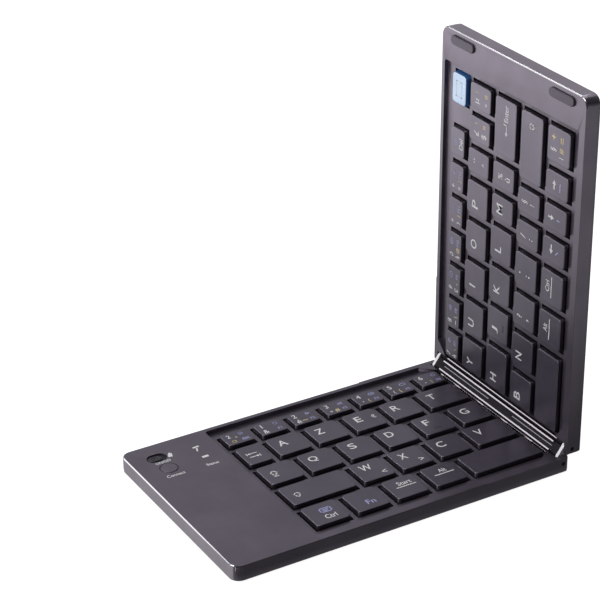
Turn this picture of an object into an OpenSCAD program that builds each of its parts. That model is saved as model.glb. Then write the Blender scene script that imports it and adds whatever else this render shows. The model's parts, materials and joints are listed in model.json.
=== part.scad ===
// Folding pocket keyboard: two key halves joined by a double-pivot spine.
// The lower half lies flat and the upper half stands at a right angle to it.
// +Z is up, +X runs from the lower half's far end towards the hinge, and -Y is
// the space-bar side. The origin is under the middle of the whole keyboard.

/* [Case] */
// Distance from the upper half's key cells to its far end
far_bezel = 16.55; // [14:0.05:20]
// Thickness of each half, without its rubber feet
half_t = 6.8; // [6.7:0.1:7.6]
// Thickness of the bottom cover and of the back cover
cover_t = 1.2; // [1:0.1:1.3]
// Thickness of the side walls
wall_t = 1.4; // [1.2:0.1:1.6]
// Thickness of the skin over the control area
skin_t = 1.2; // [1:0.1:1.4]
// Radius of the two corners far from the hinge
corner_r = 4.5; // [3:0.25:6]
// Width of the polished chamfer round the top edge
edge_chamfer = 0.4; // [0.3:0.05:0.8]
// Length of the plain, unchamfered edge beside the hinge
plain_edge_len = 41.4; // [30:0.2:50]

/* [Key well] */
// Depth of the key well below the rim
well_d = 1.9; // [1.6:0.1:2.1]
// Thickness of the web between the keys
web_t = 1.0; // [0.8:0.1:1.1]
// Distance from the front side to the key well
well_front = 3.9; // [3.5:0.1:4.2]
// Distance from the key well to the back side
well_back = 2.4; // [1.6:0.1:2.6]
// Distance from the outermost key cell to the end of the well
well_margin = 1.7; // [1.4:0.1:2]
// Radius of the well's far corners
well_r = 1.5; // [1:0.25:2]

/* [Keys] */
// Pitch of the letter keys along a row
key_pitch = 19.05; // [18.8:0.05:19.2]
// Pitch of the narrow punctuation and arrow keys
narrow_pitch = 14.75; // [14.5:0.05:15]
// Pitch of the four main rows, front to back
row_pitch = 18.1; // [17.9:0.1:18.3]
// Depth of the number row's cells
number_row_d = 13.2; // [12.8:0.1:13.6]
// Distance from the front side to the first row of cells
first_row_y = 7.4; // [7.2:0.1:7.8]
// Distance from the number row's cells to the back side
back_margin = 6.8; // [6.4:0.1:7.4]
// Width of the Caps key's cell, at the end of the lower half's middle row
caps_cell_w = 19.6; // [18.5:0.05:22]
// Width of the Enter key's cell, at the end of the upper half's middle row
enter_cell_w = 29.1; // [27:0.05:31]
// Width of the pairing key's cell at the end of the number row
pairing_cell_w = 17.1; // [16:0.1:18]
// Width of the web between two key openings
web_w = 1.9; // [1.7:0.05:2.1]
// Gap between a keycap's skirt and its opening
key_gap = 0.4; // [0.3:0.05:0.5]
// Slope of a keycap's left and right sides, base to top
cap_slope_x = 0.6; // [0.4:0.05:0.8]
// Slope of a keycap's front and back sides, base to top
cap_slope_y = 0.45; // [0.3:0.05:0.6]
// Gap under a pressed keycap's skirt
press_gap = 0.1; // [0.05:0.05:0.15]
// Depth of the keycap tops below the rim
cap_drop = 0.1; // [0.1:0.05:0.3]
// Wall and top thickness of a keycap
cap_wall = 0.9; // [0.7:0.05:1]
// Corner radius of a keycap
cap_r = 1.1; // [0.8:0.1:1.4]
// Travel of the keys
key_travel = 1.2; // [1:0.05:1.25]

/* [Key switches] */
// Thickness of the metal support plate
plate_t = 0.5; // [0.4:0.05:0.6]
// Height of the support plate above the inside of the cover
plate_lift = 0.8; // [0.6:0.1:0.9]
// Thickness of the membrane
membrane_t = 0.3; // [0.2:0.05:0.35]
// Radius of a rubber dome at its base
dome_r = 2.3; // [2:0.05:2.35]
// Longest length of a scissor link, front to back
scissor_len = 9.4; // [9:0.1:9.6]
// Largest width of the outer scissor link
scissor_w = 10; // [9.4:0.1:10.4]
// Gap between a scissor link and the inside of its keycap
scissor_gap = 0.15; // [0.1:0.05:0.2]
// Thickness of a scissor link
scissor_t = 0.5; // [0.4:0.05:0.6]
// Width of a scissor link's bars
scissor_bar = 0.9; // [0.8:0.05:1]

/* [Hinge] */
// Distance from a half's hinge end to its pivot
pivot_end = 2.5; // [2.4:0.05:2.6]
// Distance from a half's inner face to its pivot
pivot_deep = 2.6; // [2.5:0.05:2.7]
// Gap between the halves' inner faces when they are folded shut
fold_gap = 2.04; // [2:0.02:2.3]
// Tilt of the spine, up from the lower half
spine_angle = 55; // [50:1:58]
// Radius of the hinge pins
pin_r = 0.9; // [0.7:0.05:1]
// Running clearance of the pins in the cheeks, on the radius
pin_clear = 0.05; // [0.03:0.01:0.08]
// Width of each cheek, the outer wall that holds the pins
cheek_w = 2.3; // [2:0.1:2.6]
// Depth of a pin's end below the cheek's outer face
pin_recess = 0.4; // [0.2:0.1:0.6]
// Thickness of a link plate
link_t = 1.5; // [1:0.1:1.6]
// Rounding radius of the link plates about the pins
link_r = 2.35; // [2.1:0.05:2.4]
// Gap on each side of a link plate
link_gap = 0.25; // [0.2:0.05:0.3]
// Radius of the spine's barrels about the pins
barrel_r = 1.8; // [1.6:0.05:1.85]
// Gap between the spine's barrels and the hinge notch
notch_gap = 0.3; // [0.25:0.05:0.35]
// Gap between the link plates' round ends and the pockets at the cheeks
pocket_gap = 0.1; // [0.08:0.01:0.15]
// Distance from the front or back side to the raised lips of the spine
lip_y = 8.7; // [8.4:0.1:9]
// Height of the spine's raised lips above its pivot plane
lip_n = 3.0; // [2.8:0.05:3.05]
// Height of the spine's centre face above its pivot plane
spine_face_n = 2.1; // [1.9:0.05:2.3]
// Depth of the spine's back face below its pivot plane
spine_back_n = 2.2; // [2:0.05:2.3]
// Distance from the spine's centre to the outer side of a lip
lip_e = 2.3; // [2.15:0.05:2.3]
// Width of a lip
lip_w = 0.6; // [0.6:0.05:0.9]
// Width and depth of the groove along the spine's centre
groove_w = 0.4; // [0.3:0.05:0.5]
// Distance from the front side to the middle of the stretch without the groove
groove_break_y = 47; // [44:0.5:52]
// Length of the stretch without the groove
groove_break_len = 17; // [12:1:24]
// Width of the flat cable that joins the halves
cable_w = 24; // [18:1:30]
// Thickness of the flat cable
cable_t = 0.2; // [0.15:0.05:0.25]

/* [Feet and pads] */
// Radius of the rubber feet
foot_r = 4; // [3:0.5:5]
// Height of the feet below the covers
foot_h = 0.8; // [0.6:0.1:1]
// Depth that the feet sit into the covers
foot_seat = 0.4; // [0.3:0.1:0.6]
// Distance from the far end to the feet's centres
foot_far_inset = 11; // [9:0.5:14]
// Distance from the hinge end to the feet's centres
foot_near_inset = 15; // [12:0.5:18]
// Distance from the front and back sides to the feet's centres
foot_side_inset = 13; // [11:0.5:15]
// Length of the bumper pads
pad_len = 16.4; // [12:0.2:18]
// Width of the bumper pads
pad_w = 4.0; // [3.4:0.1:4.4]
// Height of the bumper pads above the rim
pad_h = 0.9; // [0.6:0.1:1]
// Distance from the far end to the middle of the pads
pad_inset = 4.3; // [3.8:0.1:5]
// Distance of each pad's middle from the centre line
pad_offset = 34.3; // [28:0.1:36]
// Depth that the pads sit into the frame
pad_seat = 0.5; // [0.3:0.1:0.7]

/* [Screws] */
// Radius of the cover screws' heads
screw_head_r = 1.25; // [1.1:0.05:1.3]
// Thickness of the cover screws' heads
screw_head_t = 0.5; // [0.4:0.05:0.6]
// Radius of the cover screws' shanks
screw_r = 0.6; // [0.5:0.05:0.7]
// Length of the cover screws
screw_len = 3.2; // [2.8:0.1:3.6]
// Radius of the screw bosses
boss_r = 1.5; // [1.4:0.05:1.6]

/* [Controls] */
// Distance from the far end to the middle of the power switch
switch_inset = 12.2; // [11:0.1:14]
// Distance from the back side to the middle of the power switch
switch_back = 10.9; // [10.4:0.1:12]
// Length of the switch's recess
switch_len = 9; // [8.6:0.1:10]
// Width of the switch's recess
switch_w = 6.2; // [5.8:0.1:6.6]
// Depth of the switch's recess
switch_d = 0.8; // [0.7:0.05:0.9]
// Length of the slider's knob
knob_len = 6.2; // [5.8:0.1:6.4]
// Width of the slider's knob
knob_w = 3.6; // [3.2:0.1:4]
// Travel of the power switch
switch_travel = 2; // [1.5:0.1:2]
// Distance from the far end to the middle of the connect button
button_inset = 13; // [12:0.1:14]
// Distance from the back side to the middle of the connect button
button_back = 20.5; // [20:0.1:22]
// Radius of the connect button
button_r = 3.7; // [3.5:0.1:4.1]
// Gap round the connect button
button_gap = 0.3; // [0.2:0.05:0.4]
// Height of the connect button above the rim
button_proud = 0.15; // [0:0.05:0.3]
// Travel of the connect button
button_travel = 0.4; // [0.3:0.05:0.5]
// Thickness of the pad under the skin that carries the switch recess
switch_pad_t = 0.8; // [0.6:0.1:1]
// Thickness of the button's flange, under the skin
button_flange_t = 0.5; // [0.4:0.05:0.6]

/* [Electronics] */
// Thickness of the circuit board
board_t = 0.8; // [0.6:0.1:1]
// Room between the circuit board and the skin over it
board_room = 2; // [1.9:0.1:2.2]
// Length of the battery
battery_len = 29; // [24:1:30]
// Depth of the battery, front to back
battery_w = 42; // [36:1:43]
// Thickness of the battery
battery_t = 3.6; // [3:0.1:3.8]
// Distance from the far end to the middle of the charging socket
socket_inset = 27; // [24:0.5:30]
// Width of the charging socket
socket_w = 8.6; // [7.6:0.1:9]
// Height of the charging socket
socket_h = 2.5; // [2.3:0.1:2.7]
// Length of the charging socket
socket_len = 7.4; // [6.5:0.1:8]

/* [Hidden] */

$fn = 48;
eps = 0.01;                                   // overlap that keeps cuts clean
seat = 0.02;                                  // play between seated parts

// Heights inside a half, above the cover's outer face
web_top = half_t - well_d;
web_bottom = web_top - web_t;
control_ceiling = half_t - skin_t;
board_top = control_ceiling - board_room;
plate_z = cover_t + plate_lift;
membrane_z = plate_z + plate_t;
switch_floor = membrane_z + membrane_t;
cap_top = half_t - cap_drop;
cap_base = switch_floor + key_travel + press_gap;
cap_h = cap_top - cap_base;
cap_under = cap_top - cap_wall;
pivot_z = half_t - pivot_deep;

// Hinge notch beside the keys and at the cheeks, and the two pivots
notch_u = pivot_end + barrel_r + notch_gap;
notch_end_u = pivot_end + link_r + pocket_gap;
link_span = 2 * pivot_deep + fold_gap;

// Where the key cells start beside the hinge, and where they end
hinge_web = 0.85;
wide_first = 1.25 * key_pitch;
space_w = 2 * key_pitch;
lower_keys_len = 5 * key_pitch + caps_cell_w;
upper_keys_len = wide_first + 3 * key_pitch + 2 * narrow_pitch + enter_cell_w;
number_keys = 7;
number_pitch = lower_keys_len / number_keys;
cells_u = notch_u + hinge_web - web_w / 2;
lower_cells_end = cells_u + lower_keys_len;
upper_cells_end = cells_u + upper_keys_len;
half_len = upper_cells_end + far_bezel;
hinge_corner_r = 0.8;
knuckle_len = 11;

// Rows of key cells: distance from the front side, and depth
row_y = [for (i = [0 : 4]) first_row_y + i * row_pitch];
function row_d(i) = i == 4 ? number_row_d : row_pitch;
rows_end_y = row_y[4] + number_row_d;
body_w = rows_end_y + back_margin;
well_y1 = body_w - well_back;

// Place of the upper half: its pivot lies link_span away along the spine
link_x = link_span * cos(spine_angle);
link_z = link_span * sin(spine_angle);
upper_x = link_x - pivot_end + half_t - pivot_deep;
upper_z = pivot_z + link_z - pivot_end;

// The origin lies under the middle of the whole keyboard's box
shift_x = (half_len - upper_x - foot_h) / 2;
shift_y = -body_w / 2;
shift_z = foot_h;

// Widths of the cells in each row, from the hinge outwards; the last one fills the row
lower_rows = [
    [space_w, key_pitch, key_pitch, key_pitch],
    [wide_first, key_pitch, key_pitch, key_pitch],
    [key_pitch, key_pitch, key_pitch, key_pitch, key_pitch],
    [wide_first, key_pitch, key_pitch, key_pitch, key_pitch],
    [for (i = [2 : number_keys]) number_pitch]
];
upper_rows = [
    [space_w, key_pitch, key_pitch, narrow_pitch, narrow_pitch, narrow_pitch],
    [key_pitch, key_pitch, key_pitch, key_pitch, narrow_pitch, narrow_pitch],
    [wide_first, key_pitch, key_pitch, key_pitch, narrow_pitch, narrow_pitch],
    [key_pitch, key_pitch, key_pitch, key_pitch, key_pitch, narrow_pitch, narrow_pitch],
    [for (i = [1 : number_keys]) number_pitch]
];

function sum_to(list, n) = n <= 0 ? 0 : list[n - 1] + sum_to(list, n - 1);
// A cell is [start, end, row]: u runs from the hinge end outwards
function cell(rows, block_end, row, i) = [
    cells_u + sum_to(rows[row], i),
    i < len(rows[row]) ? cells_u + sum_to(rows[row], i + 1) : block_end,
    row
];
function lower_cell(row, i) = cell(lower_rows, lower_cells_end, row, i);
function upper_cell(row, i) = row == 4 && i == 7
    ? [upper_cells_end - pairing_cell_w, upper_cells_end, 4]
    : cell(upper_rows, upper_cells_end, row, i);
lower_cells = [for (row = [0 : 4]) for (i = [0 : len(lower_rows[row])]) lower_cell(row, i)];
upper_cells = [for (row = [0 : 4]) for (i = [0 : len(upper_rows[row])]) upper_cell(row, i)];
function cell_mid(c) = [(c[0] + c[1]) / 2, row_y[c[2]] + row_d(c[2]) / 2];
function cell_size(c) = [c[1] - c[0], row_d(c[2])];

// Screws stand in the front and back margins, clear of the keys
screws_y = [(wall_t + first_row_y) / 2, (rows_end_y + body_w - wall_t) / 2];
end_screw_inset = corner_r - 0.3;
first_screw_u = knuckle_len + 2 * boss_r;
function screws_u(cells_end) =
    let (last = cells_end - 1.5 * boss_r)
    [first_screw_u, (first_screw_u + last) / 2, last, half_len - end_screw_inset];
lower_screws_u = screws_u(lower_cells_end);
upper_screws_u = screws_u(upper_cells_end);

// ---------------------------------------------------------------- placing

// Lower half: u runs towards -X
module place_lower() {
    translate([shift_x, shift_y, shift_z]) mirror([1, 0, 0]) children();
}

// Upper half: u runs up, and its inner face looks towards -X
module place_upper() {
    translate([shift_x + upper_x, shift_y, shift_z + upper_z]) rotate([0, -90, 0]) children();
}

// Spine: X runs from the lower pivot to the upper one, Z out of its front face
module place_spine() {
    translate([shift_x - pivot_end, shift_y, shift_z + pivot_z])
        rotate([0, -spine_angle, 0]) translate([link_span / 2, 0, 0]) children();
}

// ---------------------------------------------------------------- shared shapes

module rounded_rect(x0, x1, y0, y1, r) {
    translate([x0 + r, y0]) square([x1 - x0 - 2 * r, y1 - y0]);
    translate([x0, y0 + r]) square([x1 - x0, y1 - y0 - 2 * r]);
    for (x = [x0 + r, x1 - r], y = [y0 + r, y1 - r]) translate([x, y]) circle(r);
}

module pill(len, w) {
    square([len - w, w], center = true);
    for (x = [-1, 1]) translate([x * (len - w) / 2, 0]) circle(w / 2);
}

// Outline of a half, drawn in by inset
module half_outline(inset) {
    r = corner_r - inset;
    near_r = hinge_corner_r;
    x1 = half_len - inset;
    y0 = inset;
    y1 = body_w - inset;
    mid = half_len / 2;
    translate([near_r, y0]) square([x1 - r - near_r, y1 - y0]);
    translate([0, y0 + near_r]) square([mid, y1 - y0 - 2 * near_r]);
    translate([mid, y0 + r]) square([x1 - mid, y1 - y0 - 2 * r]);
    for (y = [y0 + near_r, y1 - near_r]) translate([near_r, y]) circle(near_r);
    for (y = [y0 + r, y1 - r]) translate([x1 - r, y]) circle(r);
}

// Outer solid of a top frame, with the chamfer round its far edges
module frame_block() {
    translate([0, 0, cover_t]) linear_extrude(half_t - edge_chamfer - cover_t) half_outline(0);
    chamfer_start = plain_edge_len - 2 * corner_r;
    hull() {
        translate([0, 0, half_t - edge_chamfer - eps]) linear_extrude(eps)
            rounded_rect(chamfer_start, half_len, 0, body_w, corner_r, $fn = 32);
        translate([0, 0, half_t - eps]) linear_extrude(eps)
            rounded_rect(chamfer_start, half_len - edge_chamfer, edge_chamfer,
                body_w - edge_chamfer, corner_r - edge_chamfer, $fn = 32);
    }
    translate([0, 0, half_t - edge_chamfer - eps]) linear_extrude(edge_chamfer + eps)
        intersection() {
            half_outline(0);
            translate([-1, -1]) square([plain_edge_len + 1, body_w + 2]);
        }
}

// Hinge notch: deeper at the cheeks, where the link plates turn
module notch_outline() {
    translate([-1, lip_y]) square([notch_u + 1, body_w - 2 * lip_y]);
    for (y = [cheek_w, body_w - lip_y - eps])
        translate([-1, y]) square([notch_end_u + 1, lip_y - cheek_w + eps]);
}

// Floor area of the key well
module well_outline(end_u) {
    rounded_rect(knuckle_len, end_u, well_front, well_y1, well_r);
    polygon([
        [0, lip_y], [notch_u + hinge_web, lip_y], [knuckle_len, well_front],
        [knuckle_len + well_r + 1, well_front], [knuckle_len + well_r + 1, well_y1],
        [knuckle_len, well_y1], [notch_u + hinge_web, body_w - lip_y], [0, body_w - lip_y]
    ]);
}

// Opening of one key, with room for the cap to go down
module key_opening(c) {
    size = cell_size(c);
    mid = cell_mid(c);
    translate([mid[0] - size[0] / 2 + web_w / 2, mid[1] - size[1] / 2 + web_w / 2, switch_floor])
        cube([size[0] - web_w, size[1] - web_w, half_t]);
}

// Room under the web: it stays clear of the hinge pockets at the cheeks
module key_room(end_u) {
    near_u = notch_u + hinge_web;
    translate([near_u, lip_y, cover_t - 1])
        cube([end_u - near_u, body_w - 2 * lip_y, web_bottom - cover_t + 1]);
    translate([knuckle_len, wall_t, cover_t - 1])
        cube([end_u - knuckle_len, body_w - 2 * wall_t, web_bottom - cover_t + 1]);
}

// Room under the skin of the control area
module control_room(start_u) {
    translate([0, 0, cover_t - 1]) linear_extrude(control_ceiling - cover_t + 1)
        rounded_rect(start_u, half_len - wall_t, wall_t, body_w - wall_t, corner_r - wall_t);
}

// Screw boss under the frame, with its pilot hole
module boss(u, y, ceiling) {
    translate([u, y, cover_t]) difference() {
        cylinder(r = boss_r, h = ceiling - cover_t + eps);
        translate([0, 0, -eps]) cylinder(r = screw_r + seat, h = screw_len - cover_t + 0.3);
    }
}

// Top frame of either half, less what is cut in its control area
module top_frame(cells, cells_end, screws) {
    well_end = cells_end + well_margin;
    difference() {
        frame_block();
        translate([0, 0, web_top]) linear_extrude(well_d + 1) well_outline(well_end);
        for (c = cells) key_opening(c);
        key_room(well_end + wall_t);
        control_room(well_end + wall_t - eps);
        translate([0, 0, -1]) linear_extrude(half_t + 2) notch_outline();
        for (y = [-1, body_w - cheek_w - 1]) translate([pivot_end, y, pivot_z])
            rotate([-90, 0, 0]) cylinder(r = pin_r + pin_clear, h = cheek_w + 2);
        translate([notch_u - 1, (body_w - cable_w) / 2 - 0.5, cover_t - 1])
            cube([hinge_web + 2, cable_w + 1, 1.75]);
    }
    for (u = screws, y = screws_y) boss(u, y, u > well_end ? control_ceiling : web_bottom);
}

// Cover of either half
module cover(screws) {
    difference() {
        linear_extrude(cover_t - seat) half_outline(0.12);
        translate([0, 0, -1]) linear_extrude(cover_t + 2) notch_outline();
        for (u = screws, y = screws_y) translate([u, y, 0]) {
            translate([0, 0, -1]) cylinder(r = screw_head_r + 0.05, h = 1 + screw_head_t);
            translate([0, 0, -1]) cylinder(r = screw_r + 0.05, h = cover_t + 2);
        }
        for (p = feet_uy) translate([p[0], p[1], -1]) cylinder(r = foot_r + seat, h = 1 + foot_seat);
        hinge_edge_round();
    }
}
feet_uy = [
    for (u = [foot_near_inset, half_len - foot_far_inset], y = [foot_side_inset, body_w - foot_side_inset])
        [u, y]
];

// Rounded lower edge of the cheeks at the hinge end
module hinge_edge_round() {
    r = cover_t - 0.1;
    difference() {
        translate([-1, -1, -1]) cube([r + 1, body_w + 2, r + 1]);
        translate([r, -2, r]) rotate([-90, 0, 0]) cylinder(r = r, h = body_w + 4);
    }
}

// Ribs that carry the support plate; they stand on the cover
module plate_ribs(end_u) {
    start_u = knuckle_len + 1;
    for (i = [0 : 4]) translate([start_u, row_y[i] + row_d(i) / 2 - 0.5, cover_t - seat - eps])
        cube([end_u - start_u - 3, 1, plate_lift + seat + eps]);
}

// Metal plate under the keys
module support_plate(end_u) {
    translate([knuckle_len + 0.5, first_row_y + 0.2, plate_z + seat])
        cube([end_u - knuckle_len - 1, rows_end_y - first_row_y - 0.4, plate_t - 2 * seat]);
    near_u = notch_u + hinge_web + 0.4;
    translate([near_u, lip_y + 0.4, plate_z + seat])
        cube([end_u - near_u - 1, body_w - 2 * lip_y - 0.8, plate_t - 2 * seat]);
}

// Contact membrane over the plate
module membrane(end_u) {
    near_u = notch_u + hinge_web + 0.8;
    translate([near_u, lip_y + 0.6, membrane_z])
        cube([end_u - near_u - 1, body_w - 2 * lip_y - 1.2, membrane_t]);
}

// Rubber dome under one key; it stands inside the inner scissor link
module dome(c) {
    mid = cell_mid(c);
    h = cap_under - switch_floor - 0.05;
    inside = [for (v = inner_scissor_size(c)) v / 2 - scissor_bar - 0.1];
    r = min(dome_r, inside[0], inside[1]);
    translate([mid[0], mid[1], switch_floor]) {
        cylinder(r = r, h = 0.3);
        cylinder(r1 = r - 0.3, r2 = r / 2, h = h);
    }
}

// One scissor link: a bar frame tilted about its middle
module scissor_link(w, len, tilt) {
    rotate([tilt, 0, 0]) difference() {
        cube([w, len, scissor_t], center = true);
        cube([w - 2 * scissor_bar, len - 2 * scissor_bar, scissor_t + 1], center = true);
    }
}

// Crossed scissor links under one key; the inner one nests in the outer one
function outer_scissor_size(c) = [
    min(scissor_w, cap_inside(c)[0] - 2 * scissor_gap),
    min(scissor_len, cap_inside(c)[1] - 2 * scissor_gap)
];
function inner_scissor_size(c) = outer_scissor_size(c) - [2 * (scissor_bar + scissor_gap), 0];
module scissor(c) {
    mid = cell_mid(c);
    outer = outer_scissor_size(c);
    inner = inner_scissor_size(c);
    room = cap_under - switch_floor - 0.1;
    tilt = asin((room - scissor_t) / outer[1]);
    translate([mid[0], mid[1], switch_floor + 0.05 + room / 2]) {
        scissor_link(outer[0], outer[1], tilt);
        scissor_link(inner[0], inner[1], -tilt);
    }
}

// Sizes of a keycap's skirt, its top and its hollow
function cap_base_size(c) = [for (v = cell_size(c)) v - web_w - 2 * key_gap];
function cap_top_size(c) = [cap_base_size(c)[0] - 2 * cap_slope_x, cap_base_size(c)[1] - 2 * cap_slope_y];
function cap_inside(c) = [for (v = cap_top_size(c)) v - 2 * cap_wall];

// One keycap at rest
module keycap(c) {
    mid = cell_mid(c);
    inside = cap_inside(c);
    translate([mid[0], mid[1], cap_base]) difference() {
        hull() {
            cap_slice(cap_base_size(c), 0);
            cap_slice(cap_top_size(c), cap_h - eps);
        }
        translate([-inside[0] / 2, -inside[1] / 2, -1]) cube([inside[0], inside[1], cap_h - cap_wall + 1]);
    }
}
module cap_slice(size, z) {
    translate([0, 0, z]) linear_extrude(eps)
        rounded_rect(-size[0] / 2, size[0] / 2, -size[1] / 2, size[1] / 2, cap_r, $fn = 12);
}

module keycaps(cells) {
    for (c = cells) keycap(c);
}

// Cover screws of a half
module screws(us) {
    for (u = us, y = screws_y) translate([u, y, seat]) {
        difference() {
            cylinder(r = screw_head_r, h = screw_head_t - seat);
            translate([0, 0, -eps]) cylinder(r = 0.45, h = 0.3, $fn = 6);
        }
        cylinder(r = screw_r, h = screw_len);
    }
}

module feet() {
    for (p = feet_uy) translate([p[0], p[1], -foot_h]) cylinder(r = foot_r, h = foot_h + foot_seat);
}

// ---------------------------------------------------------------- lower half

switch_u = half_len - switch_inset;
switch_y = body_w - switch_back;
button_u = half_len - button_inset;
button_y = body_w - button_back;

// Pad under the skin that thickens it round the switch's recess
module switch_pad() {
    translate([switch_u, switch_y, half_t - switch_d - switch_pad_t])
        linear_extrude(switch_pad_t + switch_d - skin_t + eps) pill(switch_len + 2, switch_w + 1.4);
}

// Cuts for the controls: switch recess and slot, and the button's hole
stem_w = 1.2;
module control_cuts() {
    translate([switch_u, switch_y, half_t - switch_d]) linear_extrude(switch_d + 1)
        pill(switch_len, switch_w);
    slot_len = stem_w + switch_travel + 0.8;
    translate([switch_u - slot_len / 2, switch_y - stem_w / 2 - 0.2, web_bottom])
        cube([slot_len, stem_w + 0.4, half_t]);
    translate([button_u, button_y, web_bottom]) cylinder(r = button_r + button_gap, h = half_t);
}

// Socket for the charging plug: the opening in the back wall, and the shell
socket_u = half_len - socket_inset;
socket_z = (cover_t + control_ceiling) / 2;
socket_y1 = body_w - 0.4;
module socket_opening() {
    translate([socket_u, body_w + 1, socket_z]) rotate([90, 0, 0]) linear_extrude(wall_t + 3)
        pill(socket_w + 0.5, socket_h + 0.4);
}
module socket_shell() {
    translate([socket_u, socket_y1, socket_z]) rotate([90, 0, 0]) linear_extrude(socket_len) difference() {
        pill(socket_w, socket_h);
        pill(socket_w - 0.7, socket_h - 0.7);
    }
    translate([socket_u - 3, socket_y1 - socket_len, socket_z - 0.35]) cube([6, socket_len - 1, 0.7]);
    translate([socket_u - socket_w / 2 + 0.5, socket_y1 - socket_len, socket_z - socket_h / 2 + 0.1])
        cube([socket_w - 1, 0.8, socket_h - 0.2]);
}

module lower_top_frame() {
    color([0.2, 0.19, 0.22]) place_lower() difference() {
        union() {
            top_frame(lower_cells, lower_cells_end, lower_screws_u);
            switch_pad();
        }
        control_cuts();
        socket_opening();
    }
}

module lower_bottom_cover() {
    color([0.14, 0.13, 0.16]) place_lower() {
        cover(lower_screws_u);
        plate_ribs(lower_cells_end);
        board_posts();
    }
}

module lower_support_plate() {
    color([0.6, 0.6, 0.62]) place_lower() support_plate(lower_cells_end);
}

module lower_membrane() {
    color([0.75, 0.8, 0.75]) place_lower() membrane(lower_cells_end);
}

module lower_domes() {
    color([0.9, 0.9, 0.88]) place_lower() for (c = lower_cells) dome(c);
}

module lower_scissors() {
    color([0.95, 0.95, 0.95]) place_lower() for (c = lower_cells) scissor(c);
}

module lower_feet() {
    color([0.08, 0.08, 0.08]) place_lower() feet();
}

module lower_screws() {
    color([0.5, 0.5, 0.52]) place_lower() screws(lower_screws_u);
}

// Circuit board with its switches and charging socket, in the control area
board_u0 = lower_cells_end + well_margin + wall_t + 0.6;
board_u1 = half_len - end_screw_inset - boss_r - 0.8;
board_y0 = first_row_y + battery_w + 2;
board_y1 = socket_y1 - socket_len + 2;
post_r = 1.2;

module board_posts() {
    for (u = [board_u0 + 3, board_u1 - 3], y = [board_y0 + 3, board_y1 - 6])
        translate([u, y, cover_t - seat - eps])
            cylinder(r = post_r, h = board_top - board_t - cover_t + seat);
}

switch_body_h = 0.8;
push_switch_h = 0.5;
module main_board() {
    color([0.05, 0.3, 0.12]) place_lower() {
        translate([board_u0, board_y0, board_top - board_t])
            cube([board_u1 - board_u0, board_y1 - board_y0, board_t]);
        // slide switch body
        translate([switch_u - 3.4, switch_y - 1.6, board_top - eps]) cube([6.8, 3.2, switch_body_h + eps]);
        // push switch body
        translate([button_u - 1.6, button_y - 1.6, board_top - eps]) cube([3.2, 3.2, push_switch_h + eps]);
        // controller and radio chips
        translate([board_u0 + 4, board_y0 + 8, board_top - eps]) cube([7, 7, 0.9]);
        translate([board_u0 + 16, board_y0 + 7, board_top - eps]) cube([5, 5, 0.8]);
        socket_shell();
    }
}

module battery() {
    color([0.75, 0.76, 0.8]) place_lower()
        translate([board_u0, first_row_y, cover_t])
            linear_extrude(min(battery_t, control_ceiling - cover_t - 0.4))
                rounded_rect(0, battery_len, 0, battery_w, 1.5);
}

// Slider of the power switch: knob in the recess, stem through the slot
module power_switch_slider() {
    recess_floor = half_t - switch_d;
    stem_z = board_top + switch_body_h + 0.05;
    color([0.15, 0.15, 0.17]) place_lower() translate([switch_u + switch_travel / 2, switch_y, 0]) {
        translate([0, 0, recess_floor + 0.05]) linear_extrude(switch_d - 0.15) difference() {
            pill(knob_len, knob_w);
            for (i = [-1 : 1]) translate([1.1 * i, 0]) square([0.5, knob_w - 1.4], center = true);
        }
        translate([0, 0, recess_floor + 0.05]) linear_extrude(0.3) pill(knob_len - 0.6, knob_w - 0.6);
        translate([-stem_w / 2, -stem_w / 2, stem_z]) cube([stem_w, stem_w, recess_floor + 0.06 - stem_z]);
    }
}

// Connect button: cap, flange under the skin, and plunger over the push switch
module connect_button() {
    flange_z = control_ceiling - 0.05 - button_flange_t;
    plunger_z = board_top + push_switch_h + button_travel + 0.05;
    color([0.2, 0.19, 0.22]) place_lower() translate([button_u, button_y, 0]) {
        translate([0, 0, flange_z]) cylinder(r = button_r, h = half_t + button_proud - flange_z);
        translate([0, 0, flange_z]) cylinder(r = button_r + 0.9, h = button_flange_t);
        translate([0, 0, plunger_z]) cylinder(r = 1, h = flange_z - plunger_z + eps);
    }
}

// ---------------------------------------------------------------- spine

// Section of the spine, in its own plane: e along the pivots, n out of the front
module spine_section(with_lips) {
    for (s = [-1, 1]) translate([s * link_span / 2, 0]) circle(barrel_r);
    body_e = lip_e;
    translate([-body_e, -spine_back_n]) square([2 * body_e, spine_back_n + spine_face_n]);
    translate([-link_span / 2, -barrel_r]) square([link_span, 2 * barrel_r - 0.5]);
    if (with_lips) for (s = [-1, 1])
        translate([s * (lip_e - lip_w / 2), (lip_n + spine_face_n - 0.5) / 2])
            square([lip_w, lip_n - spine_face_n + 0.5], center = true);
}

module spine_bar(y0, y1, with_lips) {
    translate([0, y1, 0]) rotate([90, 0, 0]) linear_extrude(y1 - y0) spine_section(with_lips);
}

// Groove along the spine's centre face, left out in the middle
module spine_groove(y0, y1) {
    translate([-groove_w / 2, y0, spine_face_n - groove_w]) cube([groove_w, y1 - y0, 2 * groove_w]);
}

cap_y = cheek_w + 2 * link_gap + link_t;      // where the spine starts, inside the link

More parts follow.
